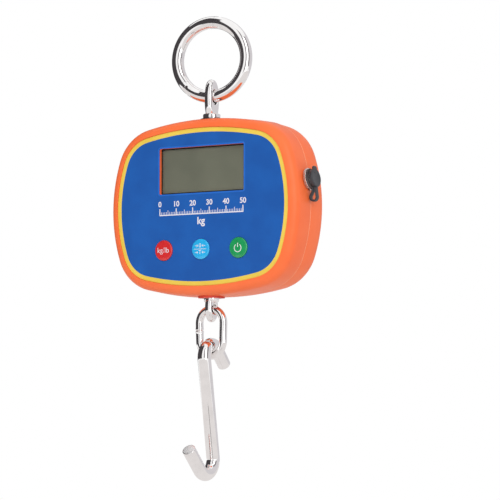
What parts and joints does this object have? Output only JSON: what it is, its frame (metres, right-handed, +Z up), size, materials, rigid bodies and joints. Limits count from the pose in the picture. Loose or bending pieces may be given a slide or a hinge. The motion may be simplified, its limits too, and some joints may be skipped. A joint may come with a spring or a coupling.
{
  "type": "digital fish scale",
  "caption": "Hanging digital scale: a gated ring and eye bolts carry a load cell in a rounded two-part housing with a display and keys, over a link and a hook.",
  "frame": {"origin": "the hang point at the inside top of the ring", "axes": "+Z up along the suspension line, the face with its display looks along -Y, +X is to the right of somebody who reads the display"},
  "size_m": [0.1608, 0.0615, 0.3244],
  "materials": {
    "polished_steel": "polished bright plating",
    "plated_steel": "bright nickel plating",
    "spring_steel": "plain drawn wire",
    "cell_aluminium": "milled",
    "gauge_film": "polyimide film",
    "orange_shell": "fine matt moulded grain",
    "black_rubber": "soft matt",
    "overlay_film": "printed satin film, blue with a yellow border",
    "clear_window": "clear",
    "display_glass": "olive grey display, off",
    "black_plastic": "moulded",
    "circuit_board": "solder mask",
    "red_key": "glossy",
    "blue_key": "glossy",
    "green_key": "glossy",
    "battery_wrap": "shrink sleeve",
    "white_lead": "PVC",
    "red_lead": "PVC"
  },
  "bodies": {
    "hanger": {"ring_body": "polished_steel", "gate_pin": "polished_steel", "gate_spring": "spring_steel"},
    "gate": {"ring_gate": "polished_steel"},
    "scale": {"top_eye_bolt": "polished_steel", "top_lock_nut": "plated_steel", "load_cell": "cell_aluminium", "strain_gauges": "gauge_film", "bottom_eye_bolt": "polished_steel", "bottom_lock_nut": "plated_steel", "cell_bracket": "plated_steel", "bracket_screws": "plated_steel", "front_shell": "orange_shell", "rear_shell": "orange_shell", "seam_gasket": "black_rubber", "shell_screws": "plated_steel", "top_collar": "black_rubber", "bottom_collar": "orange_shell", "face_overlay": "overlay_film", "display_window": "clear_window", "display_panel": "display_glass", "display_frame": "black_plastic", "main_board": "circuit_board", "board_chips": "black_plastic", "buzzer": "black_plastic", "board_screws": "plated_steel", "key_switches": "plated_steel", "battery": "battery_wrap", "battery_holder": "black_plastic", "battery_springs": "spring_steel", "charging_inlet": "plated_steel", "inlet_nut": "plated_steel", "cap_washer": "black_rubber", "cap_strap": "black_rubber", "cell_lead": "white_lead", "battery_lead": "red_lead", "inlet_lead": "red_lead"},
    "unit_key": {"unit_key": "red_key"},
    "zero_key": {"zero_key": "blue_key"},
    "power_key": {"power_key": "green_key"},
    "cap": {"dust_cap": "black_rubber"},
    "link": {"chain_link": "polished_steel"},
    "hook": {"load_hook": "polished_steel"}
  },
  "joints": [
    {"name": "gate_swing", "type": "hinge", "parent": "hanger", "child": "gate", "pos_m": [-0.01769, -0.00249, -0.04106], "axis": [0.1392, -0.9903, 0], "range_deg": [0, 45], "stiffness_Nm_per_rad": 0.02, "springref_deg": -20.05},
    {"name": "scale_swing", "type": "hinge", "parent": "hanger", "child": "scale", "pos_m": [0, 0, -0.0481], "axis": [0.9903, 0.1392, 0], "range_deg": [-60, 60]},
    {"name": "unit_key_press", "type": "slide", "parent": "scale", "child": "unit_key", "axis": [0, 1, 0], "range_m": [0, 0.0006], "stiffness_N_per_m": 500, "springref_m": -0.0004},
    {"name": "zero_key_press", "type": "slide", "parent": "scale", "child": "zero_key", "axis": [0, 1, 0], "range_m": [0, 0.0006], "stiffness_N_per_m": 500, "springref_m": -0.0004},
    {"name": "power_key_press", "type": "slide", "parent": "scale", "child": "power_key", "axis": [0, 1, 0], "range_m": [0, 0.0006], "stiffness_N_per_m": 500, "springref_m": -0.0004},
    {"name": "cap_swing", "type": "hinge", "parent": "scale", "child": "cap", "pos_m": [0.0818, 0.0026, -0.1221], "axis": [0, 1, 0], "range_deg": [0, 120], "deforming": ["cap_strap"]},
    {"name": "link_swing", "type": "hinge", "parent": "scale", "child": "link", "pos_m": [0, 0, -0.1971], "axis": [1, 0, 0], "range_deg": [-45, 45]},
    {"name": "hook_swing", "type": "hinge", "parent": "link", "child": "hook", "pos_m": [0, 0, -0.2295], "axis": [1, 0, 0], "range_deg": [-50, 50]}
  ]
}
